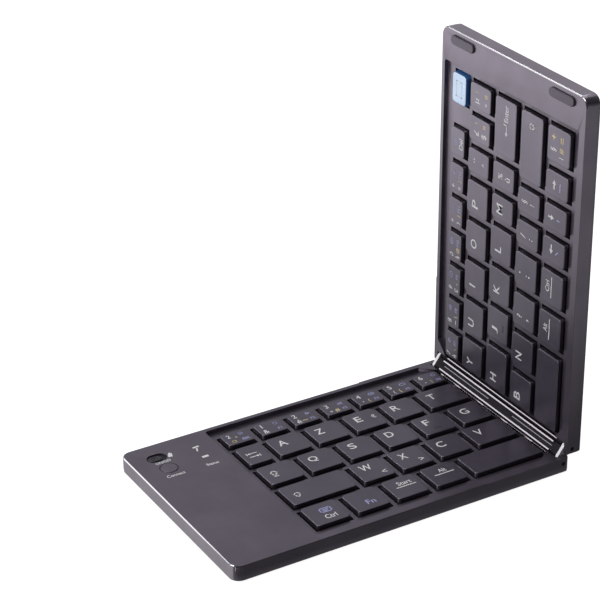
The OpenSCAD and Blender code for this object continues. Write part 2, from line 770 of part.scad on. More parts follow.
module hinge_spine() {
    color([0.12, 0.11, 0.13]) place_spine() difference() {
        union() {
            spine_bar(lip_y, body_w - lip_y, true);
            spine_bar(cap_y, lip_y + eps, false);
            spine_bar(body_w - lip_y - eps, body_w - cap_y, false);
        }
        for (s = [-1, 1], y = [cap_y - 1, body_w - lip_y])
            translate([s * link_span / 2, y, 0]) rotate([-90, 0, 0])
                cylinder(r = pin_r + eps, h = lip_y - cap_y + 1);
        spine_groove(lip_y + groove_w, groove_break_y - groove_break_len / 2);
        spine_groove(groove_break_y + groove_break_len / 2, body_w - lip_y - groove_w);
        translate([-link_span, (body_w - cable_w) / 2 - 0.5, -0.5]) cube([2 * link_span, cable_w + 1, 1]);
    }
}

module hinge_links() {
    color([0.8, 0.8, 0.82]) place_spine() for (y = [cheek_w + link_gap, body_w - cheek_w - link_gap - link_t])
        translate([0, y + link_t, 0]) rotate([90, 0, 0]) linear_extrude(link_t) difference() {
            pill(link_span + 2 * link_r, 2 * link_r);
            for (s = [-1, 1]) translate([s * link_span / 2, 0]) circle(pin_r + eps);
        }
}

pin_len = lip_y - pin_recess - 0.5;
module hinge_pins() {
    color([0.7, 0.7, 0.72]) place_spine() for (s = [-1, 1], y = [pin_recess, body_w - pin_recess - pin_len])
        translate([s * link_span / 2, y, 0]) rotate([-90, 0, 0]) cylinder(r = pin_r, h = pin_len);
}

// Flat cable from half to half: through each notch wall and along the spine's slot
cable_z = cover_t + 0.35;                     // height of the cable inside a half
module flex_cable() {
    dir = [cos(spine_angle), sin(spine_angle)];
    reach = barrel_r + 0.15;
    low = [-pivot_end, pivot_z] - reach * dir;
    high = [-pivot_end, pivot_z] + (link_span + reach) * dir;
    inside_u = notch_u + hinge_web + 2.4;
    path = [
        [-inside_u, cable_z], [-notch_u, cable_z], low, high,
        [upper_x - cable_z, upper_z + notch_u], [upper_x - cable_z, upper_z + inside_u]
    ];
    last = len(path) - 1;
    color([0.7, 0.45, 0.15])
        translate([shift_x, shift_y + (body_w + cable_w) / 2, shift_z]) rotate([90, 0, 0])
            linear_extrude(cable_w) polygon(concat(
                [for (i = [0 : last]) path[i] + strip_side(path, i)],
                [for (i = [last : -1 : 0]) path[i] - strip_side(path, i)]
            ));
}

// Step from the middle of the cable to its surface at point i of its path
function strip_side(path, i) =
    let (
        before = path[max(i, 1)] - path[max(i, 1) - 1],
        after = path[min(i, len(path) - 2) + 1] - path[min(i, len(path) - 2)],
        n0 = [-before[1], before[0]] / norm(before),
        n1 = [-after[1], after[0]] / norm(after)
    )
    (n0 + n1) * cable_t / 2 / (1 + n0 * n1);

// ---------------------------------------------------------------- upper half

module upper_top_frame() {
    color([0.2, 0.19, 0.22]) place_upper() difference() {
        top_frame(upper_cells, upper_cells_end, upper_screws_u);
        pad_seats();
    }
}

module pad_outline(grow) {
    for (s = [-1, 1]) translate([half_len - pad_inset, body_w / 2 + s * pad_offset])
        rotate(90) pill(pad_len + 2 * grow, pad_w + 2 * grow);
}

module pad_seats() {
    translate([0, 0, half_t - pad_seat]) linear_extrude(pad_seat + 1) pad_outline(0.05);
}

module upper_back_cover() {
    color([0.14, 0.13, 0.16]) place_upper() {
        cover(upper_screws_u);
        plate_ribs(upper_cells_end);
    }
}

module upper_support_plate() {
    color([0.6, 0.6, 0.62]) place_upper() support_plate(upper_cells_end);
}

module upper_membrane() {
    color([0.75, 0.8, 0.75]) place_upper() membrane(upper_cells_end);
}

module upper_domes() {
    color([0.9, 0.9, 0.88]) place_upper() for (c = upper_cells) dome(c);
}

module upper_scissors() {
    color([0.95, 0.95, 0.95]) place_upper() for (c = upper_cells) scissor(c);
}

module upper_feet() {
    color([0.08, 0.08, 0.08]) place_upper() feet();
}

module upper_screws() {
    color([0.5, 0.5, 0.52]) place_upper() screws(upper_screws_u);
}

module bumper_pads() {
    color([0.25, 0.24, 0.27]) place_upper() translate([0, 0, half_t - pad_seat])
        linear_extrude(pad_seat + pad_h) pad_outline(0);
}

// ---------------------------------------------------------------- keys

key_color = [0.2, 0.2, 0.23];
module lower_keys(cells) {
    color(key_color) place_lower() keycaps(cells);
}
module upper_keys(cells) {
    color(key_color) place_upper() keycaps(cells);
}

lower_top_frame();
lower_bottom_cover();
lower_support_plate();
lower_membrane();
lower_domes();
lower_scissors();
lower_feet();
lower_screws();
main_board();
battery();
hinge_spine();
hinge_links();
hinge_pins();
flex_cable();
upper_top_frame();
upper_back_cover();
upper_support_plate();
upper_membrane();
upper_domes();
upper_scissors();
upper_feet();
upper_screws();
bumper_pads();
power_switch_slider();
connect_button();
lower_keys([lower_cell(3, 4)]);  // key_a
lower_keys([lower_cell(3, 3)]);  // key_z
lower_keys([lower_cell(3, 2)]);  // key_e
lower_keys([lower_cell(3, 1)]);  // key_r
lower_keys([lower_cell(3, 0)]);  // key_t
lower_keys([lower_cell(2, 4)]);  // key_q
lower_keys([lower_cell(2, 3)]);  // key_s
lower_keys([lower_cell(2, 2)]);  // key_d
lower_keys([lower_cell(2, 1)]);  // key_f
lower_keys([lower_cell(2, 0)]);  // key_g
lower_keys([lower_cell(1, 3)]);  // key_w
lower_keys([lower_cell(1, 2)]);  // key_x
lower_keys([lower_cell(1, 1)]);  // key_c
lower_keys([lower_cell(1, 0)]);  // key_v
lower_keys([lower_cell(0, 0)]);  // space_bar_left
lower_keys([for (i = [0 : 6]) lower_cell(4, i)]);  // number_keys_left
lower_keys([lower_cell(3, 5), lower_cell(2, 5), lower_cell(1, 4),  // modifier_keys_left
        for (i = [1 : 4]) lower_cell(0, i)]);
upper_keys([upper_cell(3, 0)]);  // key_y
upper_keys([upper_cell(3, 1)]);  // key_u
upper_keys([upper_cell(3, 2)]);  // key_i
upper_keys([upper_cell(3, 3)]);  // key_o
upper_keys([upper_cell(3, 4)]);  // key_p
upper_keys([upper_cell(2, 0)]);  // key_h
upper_keys([upper_cell(2, 1)]);  // key_j
upper_keys([upper_cell(2, 2)]);  // key_k
upper_keys([upper_cell(2, 3)]);  // key_l
upper_keys([upper_cell(2, 4)]);  // key_m
upper_keys([upper_cell(1, 0)]);  // key_b
upper_keys([upper_cell(1, 1)]);  // key_n
upper_keys([upper_cell(0, 0)]);  // space_bar_right
upper_keys([upper_cell(2, 6)]);  // enter_key
upper_keys([upper_cell(4, 7)]);  // pairing_key
upper_keys([for (i = [0 : 6]) upper_cell(4, i)]);  // number_keys_right
upper_keys([upper_cell(1, 6), for (i = [1 : 5]) upper_cell(0, i)]);  // modifier_keys_right
upper_keys([upper_cell(3, 5), upper_cell(3, 6), upper_cell(3, 7), upper_cell(2, 5),  // punctuation_keys
        for (i = [2 : 5]) upper_cell(1, i), upper_cell(0, 6)]);
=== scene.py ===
import json
import math

import bmesh
import bpy
from mathutils import Matrix, Vector


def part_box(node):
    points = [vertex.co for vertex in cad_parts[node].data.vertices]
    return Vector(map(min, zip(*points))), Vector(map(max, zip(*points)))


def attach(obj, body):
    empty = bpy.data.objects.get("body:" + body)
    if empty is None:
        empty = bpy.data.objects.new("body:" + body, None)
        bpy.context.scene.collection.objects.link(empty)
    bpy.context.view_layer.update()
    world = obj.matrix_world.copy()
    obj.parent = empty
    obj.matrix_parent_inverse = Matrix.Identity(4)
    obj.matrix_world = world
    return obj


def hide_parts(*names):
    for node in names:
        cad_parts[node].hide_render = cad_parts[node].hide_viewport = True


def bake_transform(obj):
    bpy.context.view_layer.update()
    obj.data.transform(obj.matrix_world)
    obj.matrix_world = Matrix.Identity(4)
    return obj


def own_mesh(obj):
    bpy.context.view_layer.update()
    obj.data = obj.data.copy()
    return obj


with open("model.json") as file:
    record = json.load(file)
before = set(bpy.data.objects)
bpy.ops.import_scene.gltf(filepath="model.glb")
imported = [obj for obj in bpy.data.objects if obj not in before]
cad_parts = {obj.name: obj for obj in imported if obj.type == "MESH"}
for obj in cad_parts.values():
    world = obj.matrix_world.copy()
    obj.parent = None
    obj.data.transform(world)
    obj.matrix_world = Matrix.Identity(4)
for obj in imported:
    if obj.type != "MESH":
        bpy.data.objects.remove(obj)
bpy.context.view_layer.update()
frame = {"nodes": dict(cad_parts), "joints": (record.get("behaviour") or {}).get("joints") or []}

MM = 0.001
scene = bpy.context.scene
nodes = frame["nodes"]


# ------------------------------------------------------------------ places

# Both halves are worked in millimetres as (u, y, z): u from the hinge end,
# y from the front side, z from the cover's outer face towards the keys.
low_min, low_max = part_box("lower_top_frame")
up_min, up_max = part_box("upper_top_frame")
low_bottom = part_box("lower_bottom_cover")[0].z
up_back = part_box("upper_back_cover")[1].x
front = low_min.y
HALF_T = (low_max.z - low_bottom) / MM
HALF_LEN = (low_max.x - low_min.x) / MM
BODY_W = (low_max.y - low_min.y) / MM

CORNER = 4.5                            # radius of a half's two far corners
CHAMFER = 0.4                           # width of the polished chamfer
RECESS_Z = HALF_T - 0.8                 # floor of the power switch's recess
RECESS_U = HALF_LEN - 20                # the recess lies beyond both of these
RECESS_Y = BODY_W - 20
LIP_Y = 8.7                             # where the spine's lips start, from the front side
SPINE_FACE = 2.1                        # the spine's face above the pivots
GROOVE_HALF, GROOVE_DEEP = 0.21, 0.6    # a little more than the groove's half width and depth
BARREL_R = 1.8                          # radius of the spine's barrels
RIB_W, RIB_DEEP = 0.36, 0.35            # width and depth of the polished ribs on the barrels
UPPER_RIB_SHIFT, LOWER_RIB_SHIFT = 0.17, -0.02          # way from each rib to its pivot, along the spine
UPPER_RIB_PROUD, LOWER_RIB_PROUD = 0.07, 0.14           # height of each rib above its barrel
SOCKET_U = HALF_LEN - 27                # middle of the charging socket on the board
SOCKET_Y = BODY_W - 8.3                 # the socket lies behind this
SOCKET_W = 8.6
BOARD_TOP = 3.6                         # height of the circuit board's top
CABLE_BEND = 2.6 * MM                   # reach of the cable's bend on each side of a pivot
CABLE_CUTS = 14                         # steps that the bend is cut into


def low(u, y, z):
    """World place of (u, y, z) in the lower half; up does the same for the upper half."""
    return Vector((low_max.x - u * MM, front + y * MM, low_bottom + z * MM))


def up(u, y, z):
    return Vector((up_back - z * MM, front + y * MM, up_min.z + u * MM))


def low_local(p):
    """(u, y, z) in the lower half of a world place, at rest; up_local for the upper half."""
    return ((low_max.x - p.x) / MM, (p.y - front) / MM, (p.z - low_bottom) / MM)


def up_local(p):
    return ((p.z - up_min.z) / MM, (p.y - front) / MM, (up_back - p.x) / MM)


# --------------------------------------------------------------- materials

def new_material(name):
    m = bpy.data.materials.new(name)
    m.use_nodes = True
    tree = m.node_tree
    tree.nodes.clear()
    out = tree.nodes.new("ShaderNodeOutputMaterial")
    shader = tree.nodes.new("ShaderNodeBsdfPrincipled")
    tree.links.new(shader.outputs[0], out.inputs[0])
    return m, tree, shader


def finish_material(name, color, rough, metallic=0.0, specular=0.5, vary=0.08, patch=60.0,
                    grain=2500.0, grain_depth=0.02, rough_vary=0.05, stretch=None):
    """A satin or polished surface: slow colour drift, fine grain in roughness and bump."""
    m, tree, shader = new_material(name)
    new, link = tree.nodes.new, tree.links.new
    coord = new("ShaderNodeTexCoord")
    where = coord.outputs["Object"]
    if stretch:
        mapping = new("ShaderNodeMapping")
        mapping.inputs["Scale"].default_value = stretch
        link(where, mapping.inputs["Vector"])
        where = mapping.outputs[0]
    slow = new("ShaderNodeTexNoise")
    slow.inputs["Scale"].default_value = patch
    slow.inputs["Detail"].default_value = 3
    link(where, slow.inputs["Vector"])
    ramp = new("ShaderNodeValToRGB")
    ramp.color_ramp.elements[0].position = 0.3
    ramp.color_ramp.elements[1].position = 0.7
    ramp.color_ramp.elements[0].color = [c * (1 - vary) for c in color] + [1]
    ramp.color_ramp.elements[1].color = [min(1, c * (1 + vary)) for c in color] + [1]
    link(slow.outputs["Fac"], ramp.inputs["Fac"])
    link(ramp.outputs["Color"], shader.inputs["Base Color"])
    fine = new("ShaderNodeTexNoise")
    fine.inputs["Scale"].default_value = grain
    fine.inputs["Detail"].default_value = 2
    link(where, fine.inputs["Vector"])
    spread = new("ShaderNodeMapRange")
    spread.inputs["To Min"].default_value = max(0.02, rough - rough_vary)
    spread.inputs["To Max"].default_value = min(1, rough + rough_vary)
    link(fine.outputs["Fac"], spread.inputs["Value"])
    link(spread.outputs["Result"], shader.inputs["Roughness"])
    bump = new("ShaderNodeBump")
    bump.inputs["Strength"].default_value = 0.35
    bump.inputs["Distance"].default_value = grain_depth * MM
    link(fine.outputs["Fac"], bump.inputs["Height"])
    link(bump.outputs["Normal"], shader.inputs["Normal"])
    shader.inputs["Metallic"].default_value = metallic
    shader.inputs["Specular IOR Level"].default_value = specular
    return m


case_satin = finish_material("case_satin", (0.212, 0.188, 0.23), 0.3, metallic=0.88, specular=0.5)
case_side = finish_material("case_side", (0.445, 0.4, 0.465), 0.4, metallic=0.85, specular=0.5)
cover_satin = finish_material("cover_satin", (0.2, 0.178, 0.217), 0.36, metallic=0.88, specular=0.5)
cover_side = finish_material("cover_side", (0.445, 0.4, 0.465), 0.4, metallic=0.85, specular=0.5)
case_chamfer = finish_material("case_chamfer", (0.93, 0.9, 0.96), 0.14, metallic=1.0, vary=0.04,
                               grain_depth=0.004)
key_satin = finish_material("key_satin", (0.2, 0.18, 0.222), 0.3, metallic=0.88, grain=3200.0)
# darker copy of the key finish for the caps' sides: painted shade
key_side_painted_shade = finish_material("key_side_painted_shade", (0.1, 0.09, 0.112), 0.3, metallic=0.88, grain=3200.0)
key_blue = finish_material("key_blue", (0.6, 0.74, 0.95), 0.35, metallic=0.5)
# navy copy of the blue, for the pairing key's sides: painted shade
pairing_side_painted_shade = finish_material("pairing_side_painted_shade", (0.035, 0.15, 0.42), 0.4, specular=0.5)
print_white = finish_material("print_white", (0.98, 0.98, 1.0), 0.4, vary=0.05)
print_lilac = finish_material("print_lilac", (0.52, 0.53, 0.9), 0.45, vary=0.05)
print_yellow = finish_material("print_yellow", (0.95, 0.78, 0.4), 0.45, vary=0.05)
# near-black ink, used only for the bars on F and J: painted shadow of the homing ridges
homing_shadow_ink = finish_material("homing_shadow_ink", (0.02, 0.02, 0.025), 0.45, vary=0.05)
spine_dark = finish_material("spine_dark", (0.012, 0.009, 0.014), 0.5, specular=0.25)
lip_polish = finish_material("lip_polish", (0.64, 0.59, 0.65), 0.16, metallic=1.0, vary=0.03,
                             grain_depth=0.004)
groove_polish = finish_material("groove_polish", (0.35, 0.34, 0.37), 0.2, metallic=1.0, vary=0.03)
link_polish = finish_material("link_polish", (0.93, 0.92, 0.95), 0.2, metallic=0.45, vary=0.03,
                              grain_depth=0.004)
pin_metal = finish_material("pin_metal", (0.03, 0.028, 0.034), 0.35, metallic=0.6, vary=0.05)
pad_rubber = finish_material("pad_rubber", (0.125, 0.11, 0.138), 0.42, metallic=0.75, specular=0.4,
                             grain=1800.0, grain_depth=0.03)
foot_rubber = finish_material("foot_rubber", (0.018, 0.018, 0.02), 0.75, specular=0.3, grain=1200.0,
                              grain_depth=0.05)
switch_black = finish_material("switch_black", (0.075, 0.07, 0.08), 0.35, metallic=0.6, specular=0.5)
recess_black = finish_material("recess_black", (0.02, 0.018, 0.024), 0.5, specular=0.3)
steel = finish_material("screw_steel", (0.5, 0.5, 0.53), 0.3, metallic=1.0, vary=0.06)
plate_metal = finish_material("plate_metal", (0.55, 0.55, 0.57), 0.38, metallic=1.0, vary=0.06,
                              stretch=(1, 12, 1))
film = finish_material("membrane_film", (0.6, 0.66, 0.6), 0.3, vary=0.1, patch=300.0)
silicone = finish_material("dome_silicone", (0.75, 0.75, 0.72), 0.55, vary=0.04)
moulding = finish_material("scissor_moulding", (0.78, 0.78, 0.78), 0.45, vary=0.04)
board_green = finish_material("board_green", (0.02, 0.14, 0.05), 0.35, vary=0.2, patch=400.0)
foil = finish_material("battery_foil", (0.62, 0.63, 0.66), 0.3, metallic=0.9, vary=0.06, patch=200.0)
cable_amber = finish_material("cable_amber", (0.42, 0.2, 0.04), 0.3, vary=0.08, stretch=(1, 40, 1))


# ------------------------------------------------------------- mesh helpers

def add_object(name, bm, materials, smooth_angle=40, recalc=True):
    if recalc:
        bmesh.ops.recalc_face_normals(bm, faces=bm.faces)
    mesh = bpy.data.meshes.new(name)
    bm.to_mesh(mesh)
    bm.free()
    for m in materials:
        mesh.materials.append(m)
    mesh.shade_smooth()
    mesh.set_sharp_from_angle(angle=math.radians(smooth_angle))
    obj = bpy.data.objects.new(name, mesh)
    scene.collection.objects.link(obj)
    return obj


def cad_bmesh(node):
    """A CAD node's own mesh, with its seams joined."""
    bm = bmesh.new()
    bm.from_mesh(nodes[node].data)
    bmesh.ops.remove_doubles(bm, verts=bm.verts, dist=2e-6)
    bm.faces.ensure_lookup_table()
    return bm


def loose_parts(bm):
    """The vertices of each separate solid in a mesh."""
    bm.verts.ensure_lookup_table()
    bm.verts.index_update()
    seen, parts = set(), []
    for start in bm.verts:
        if start.index in seen:
            continue
        stack, part = [start], []
        seen.add(start.index)
        while stack:
            v = stack.pop()
            part.append(v)
            for e in v.link_edges:
                w = e.other_vert(v)
                if w.index not in seen:
                    seen.add(w.index)
                    stack.append(w)
        parts.append(part)
    return parts


def bevelled_copy(node, name, materials, index_of=None, width=0.14, segments=2, smooth_angle=35):
    """The CAD piece with softened edges; index_of gives a face's material."""
    bm = cad_bmesh(node)
    bmesh.ops.dissolve_limit(bm, angle_limit=math.radians(0.8), verts=bm.verts, edges=bm.edges)
    if index_of:
        for f in bm.faces:
            f.material_index = index_of(f.calc_center_median(), f.normal)
    obj = add_object(name, bm, materials, smooth_angle, recalc=False)
    bevel = obj.modifiers.new("edges", "BEVEL")
    bevel.width = width * MM
    bevel.segments = segments
    bevel.limit_method = "ANGLE"
    bevel.angle_limit = math.radians(38)
    bevel.use_clamp_overlap = True
    bevel.harden_normals = True
    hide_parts(node)
    return obj


# ------------------------------------------------------------------ keycaps

lower_keys = ["key_" + c for c in "azertqsdfgwxcv"] + [
    "space_bar_left", "number_keys_left", "modifier_keys_left"]
upper_keys = ["key_" + c for c in "yuiophjklmbn"] + [
    "space_bar_right", "enter_key", "pairing_key", "number_keys_right", "modifier_keys_right",
    "punctuation_keys"]

CAP_SLOPE_U, CAP_SLOPE_Y = 0.6, 0.45    # lean of a cap's sides, from base to top
CAP_WALL = 0.9
CAP_CORNER, LEAST_CORNER = 1.6, 0.35    # corner radius at the sides, and at least in the dish
CAP_FILLET = 0.2                        # rounding of the top's edge
CAP_EDGE = 0.12                         # softening of the skirt's lower edge
HOLLOW_TAPER = 0.2                      # the hollow is this much smaller inside, and wider at its mouth
CAP_SIDE = 0.6                          # a cap's face that looks up by less than this is a side, and takes the darker side material: painted shade
DISH = 0.05
DISH_STEPS = ((0.9, 0.012), (1.6, 0.032), (2.5, 0.047), (3.2, DISH))    # way in from the edge, drop
DISH_ROOM = 1.2                         # half width that a dish step leaves free, at least


def key_boxes(node, local):
    """Each cap of a key node as (u0, u1, y0, y1, z0, z1)."""
    bm = cad_bmesh(node)
    boxes = []
    for part in loose_parts(bm):
        pts = [local(v.co) for v in part]
        lo = [min(p[i] for p in pts) for i in range(3)]
        hi = [max(p[i] for p in pts) for i in range(3)]
        boxes.append((lo[0], hi[0], lo[1], hi[1], lo[2], hi[2]))
    bm.free()
    return boxes


def rounded_ring(u0, u1, y0, y1, r, z, steps=6):
    r = max(0.05, min(r, (u1 - u0) / 2 - 0.01, (y1 - y0) / 2 - 0.01))
    pts = []
    corners = ((u1 - r, y1 - r, 0), (u0 + r, y1 - r, 90), (u0 + r, y0 + r, 180), (u1 - r, y0 + r, 270))
    for cu, cy, a0 in corners:
        for i in range(steps + 1):
            a = math.radians(a0 + 90 * i / steps)
            pts.append((cu + r * math.cos(a), cy + r * math.sin(a), z))
    return pts


def skin_rings(bm, rings, place):
    """A closed skin through rings of equal length."""
    made = [[bm.verts.new(place(*p)) for p in ring] for ring in rings]
    for a, b in zip(made, made[1:]):
        n = len(a)
        for i in range(n):
            bm.faces.new((a[i], a[(i + 1) % n], b[(i + 1) % n], b[i]))
    bm.faces.new(made[-1])
    bm.faces.new(made[0])


def add_cap(bm, box, place):
    u0, u1, y0, y1, z0, z1 = box
    h = z1 - z0

    def outer(z, extra):
        """The cap's outline at height z, drawn in by extra."""
        t = min(1, (z - z0) / h)
        du, dy = CAP_SLOPE_U * t + extra, CAP_SLOPE_Y * t + extra
        r = max(LEAST_CORNER, CAP_CORNER - 0.6 * extra)
        return rounded_ring(u0 + du, u1 - du, y0 + dy, y1 - dy, r, z)

    def hollow(z, wall, r):
        return rounded_ring(u0 + wall, u1 - wall, y0 + wall, y1 - wall, r, z)

    rings = [hollow(z, CAP_WALL + HOLLOW_TAPER, 0.5) for z in (z1 - CAP_WALL, z0 + CAP_EDGE)]
    rings.append(hollow(z0, CAP_WALL - HOLLOW_TAPER, 0.6))
    rings += [outer(z0, CAP_EDGE), outer(z0 + CAP_EDGE, 0), outer(z1 - CAP_FILLET, 0)]
    for a in (22.5, 45, 67.5, 90):
        a = math.radians(a)
        rings.append(outer(z1 - CAP_FILLET + CAP_FILLET * math.sin(a), CAP_FILLET * (1 - math.cos(a))))
    for extra, drop in DISH_STEPS:
        least = 2 * (extra + DISH_ROOM)
        if u1 - u0 > least and y1 - y0 > least:
            rings.append([(p[0], p[1], z1 - drop) for p in outer(z1, extra)])
    skin_rings(bm, rings, place)


caps = {}
for node in lower_keys + upper_keys:
    is_low = node in lower_keys
    place, local = (low, low_local) if is_low else (up, up_local)
    caps[node] = key_boxes(node, local)
    bm = bmesh.new()
    for box in caps[node]:
        add_cap(bm, box, place)
    looks = [key_blue, pairing_side_painted_shade] if node == "pairing_key" else [key_satin, key_side_painted_shade]
    cap = add_object(node + "_caps", bm, looks, 50)
    # faces that look up by less than CAP_SIDE get the second, darker material: painted shade on the caps'
    # sides
    for face in cap.data.polygons:
        facing_up = face.normal.z if is_low else -face.normal.x
        if facing_up < CAP_SIDE:
            face.material_index = 1
    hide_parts(node)
    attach(cap, node)

# domes and scissor links, gathered into one piece per key and fixed to its half
for keys, half, local, axis in ((lower_keys, "lower", low_local, (0, 0, 1)),
                                (upper_keys, "upper", up_local, (1, 0, 0))):
    groups = {k: bmesh.new() for k in keys}
    for node, index in ((half + "_domes", 0), (half + "_scissors", 1)):
        source = cad_bmesh(node)
        for part in loose_parts(source):
            middle = sum((v.co for v in part), Vector()) / len(part)
            u, y, _ = local(middle)
            owner = next(k for k in keys if any(b[0] < u < b[1] and b[2] < y < b[3] for b in caps[k]))
            bm = groups[owner]
            made = {v: bm.verts.new(v.co) for v in part}
            faces = dict.fromkeys(f for v in part for f in v.link_faces)     # each once, in order
            for f in faces:
                bm.faces.new([made[v] for v in f.verts]).material_index = index
        source.free()
    for k, bm in groups.items():
        floor = local(min((v.co for v in bm.verts), key=lambda p: local(p)[2]))[2]
        place = low if half == "lower" else up
        piece = add_object("switches_" + k, bm, [silicone, moulding], 30)
        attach(piece, half + "_half")
        tuple(place(0, 0, floor))
        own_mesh(piece)
    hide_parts(half + "_domes", half + "_scissors")


# ------------------------------------------------------------------ legends

INKS = {"w": print_white, "l": print_lilac, "y": print_yellow, "d": homing_shadow_ink}
ink_names = list(INKS)
legend_meshes = {}
TOP = HALF_T - 0.1                      # height of the keycaps' tops
INK = 0.02                              # half the thickness of a printed form
UP0 = up_min.z / MM - low_bottom / MM   # the upper half's hinge end above the case's bottom


def is_lower(body):
    return body in lower_keys or body == "lower_half"


def legend_bm(body):
    return legend_meshes.setdefault(body, bmesh.new())


def put(body, flat, heights, faces, u, y, ink, top=None):
    """Adds a thin printed form, flat in mm about (u, y) as it is read."""
    bm = legend_bm(body)
    base = (TOP - DISH + INK * 0.6) if top is None else top
    verts = []
    for p, h in zip(flat, heights):
        verts.append(bm.verts.new(low(u - p.x, y + p.y, base + h) if is_lower(body)
                                  else up(u + p.x, y + p.y, base + h)))
    for f in faces:
        if len({verts[i] for i in f}) == len(f) and bm.faces.get([verts[i] for i in f]) is None:
            bm.faces.new([verts[i] for i in f]).material_index = ink_names.index(ink)


def add_text(body, text, u, y, tall, ink="w", wide=None, top=None):
    """Printed text whose own outline is tall mm high, and wide mm if given, with its middle at (u, y)."""
    curve = bpy.data.curves.new("text", "FONT")
    curve.body = text
    curve.extrude = 0.01
    curve.offset = 0.008
    curve.resolution_u = 4
    holder = bpy.data.objects.new("text", curve)
    mesh = bpy.data.meshes.new_from_object(holder)
    bpy.data.objects.remove(holder)
    bpy.data.curves.remove(curve)
    xs, ys = [v.co.x for v in mesh.vertices], [v.co.y for v in mesh.vertices]
    grow_y = tall / (max(ys) - min(ys))
    grow_x = wide / (max(xs) - min(xs)) if wide else grow_y
    mid_x, mid_y = (max(xs) + min(xs)) / 2, (max(ys) + min(ys)) / 2
    put(body, [Vector(((v.co.x - mid_x) * grow_x, (v.co.y - mid_y) * grow_y)) for v in mesh.vertices],
        [INK if v.co.z > 0 else -INK for v in mesh.vertices],
        [tuple(p.vertices) for p in mesh.polygons], u, y, ink, top)
    bpy.data.meshes.remove(mesh)


def add_shape(body, outline, u, y, ink="w", top=None):
    """A thin printed plate with a simple outline, in mm about (u, y)."""
    n = len(outline)
    pts = [Vector(p) for p in outline]
    faces = [tuple(range(n))[::-1], tuple(range(n, 2 * n))]
    faces += [(i, (i + 1) % n, n + (i + 1) % n, n + i) for i in range(n)]
    put(body, pts + pts, [-INK] * n + [INK] * n, faces, u, y, ink, top)


def add_line(body, points, u, y, width=0.4, ink="w", top=None, closed=False):
    """Printed strokes through points, in mm about (u, y) as it is read."""
    ends = points[1:] + points[:1] if closed else points[1:]
    for a, b in zip(points, ends):
        a, b = Vector(a), Vector(b)
        along = (b - a).normalized()
        a, b = a - along * width / 2, b + along * width / 2
        across = Vector((-along.y, along.x)) * width / 2
        add_shape(body, [a - across, b - across, b + across, a + across], u, y, ink, top)


def add_arrow(body, u, y, direction, length, width=0.6, head=1.5):
    """Solid arrow with its middle at (u, y)."""
    d = Vector(direction).normalized()
    n = Vector((-d.y, d.x))
    tip, tail = d * length / 2, -d * length / 2
    neck = tip - d * head
    side = n * width / 2
    add_shape(body, [tail - side, neck - side, neck + side, tail + side], u, y)
    add_shape(body, [neck - n * head * 0.62, tip, neck + n * head * 0.62], u, y)


def shift_arrow(body, u, y, size, width=0.5):
    """Hollow upward arrow."""
    s = size / 2
    half = s * 0.5
    outline = [(-s, 0.0), (0.0, s), (s, 0.0), (half, 0.0), (half, -s), (-half, -s), (-half, 0.0)]
    add_line(body, outline, u, y, width, closed=True)


def add_icon(body, kind, u, y, ink="l"):
    """Small outline mark for a key's second function."""
    r = 0.95
    ring = [(r * math.cos(math.radians(a)), r * math.sin(math.radians(a))) for a in range(0, 360, 45)]
    box = [(-1.3, -0.8), (1.3, -0.8), (1.3, 0.8), (-1.3, 0.8)]
    if kind in ("ring", "dot_ring"):
        add_line(body, ring, u, y, 0.32, ink, closed=True)
    if kind == "dot_ring":
        add_line(body, [(-0.1, 0), (0.1, 0)], u, y, 0.4, ink)
    if kind in ("box", "page"):
        add_line(body, box, u, y, 0.32, ink, closed=True)
    if kind == "page":
        add_line(body, [(-0.5, 0), (0.5, 0)], u, y, 0.35, ink)
    if kind == "bars":
        for i in (-0.9, 0, 0.9):
            add_line(body, [(i, -0.8), (i, 0.5 + 0.3 * i)], u, y, 0.35, ink)
    if kind == "wedge":
        add_line(body, [(-0.9, -0.8), (1.0, 0), (-0.9, 0.8)], u, y, 0.35, ink, closed=True)


# letters: width in mm, and the middle of each letter; upper ones by height above the case's bottom
LETTER_H, USUAL_W = 4.3, 3.65
LETTER_W = {"W": 5.3, "M": 4.5, "Q": 4.2, "O": 4.2, "G": 4.0, "C": 3.9, "A": 4.1, "I": 0.75, "J": 2.6,
            "L": 2.9, "E": 3.1, "F": 3.0, "T": 3.6, "S": 3.5, "D": 3.7}
for c, x, y in (("A", 97, 72.3), ("Z", 78.5, 72.3), ("E", 59, 72.3), ("R", 40, 72.3), ("T", 21, 72.3),
                ("Q", 92.5, 54.3), ("S", 73, 54.7), ("D", 54.3, 54.7), ("F", 35.3, 54.7), ("G", 15.8, 54.3),
                ("W", 77.4, 37.0), ("X", 59.2, 36.6), ("C", 40.1, 36.5), ("V", 20.5, 36.5)):
    add_text("key_" + c.lower(), c, x, y, LETTER_H, wide=LETTER_W.get(c, USUAL_W))
for c, z, y in (("Y", 18.8, 72.3), ("U", 38.2, 72.3), ("I", 56.5, 72.3), ("O", 76.5, 72.3),
                ("P", 95.3, 72.3), ("H", 19.5, 54.5), ("J", 42.8, 54.5), ("K", 62.5, 54.5),
                ("L", 81.5, 54.5), ("M", 100, 54.5), ("B", 19, 36.8), ("N", 38.3, 36.8)):
    add_text("key_" + c.lower(), c, z - UP0, y, LETTER_H, wide=LETTER_W.get(c, USUAL_W))
add_text("key_e", "€", 51.7, 71.5, 2.6)
add_text("key_w", "<", 71.9, 31, 2.3)
add_text("key_x", ">", 53.2, 31.2, 2.3)
# F and J: the homing ridges are not modelled; a dark printed bar stands in for their shaded side, a painted
# shadow
for body, u, y in (("key_f", 33.0, 49.0), ("key_j", 45.5 - UP0, 48.7)):
    add_line(body, [(-1.5, 0), (1.5, 0)], u, y, 0.45, "d")

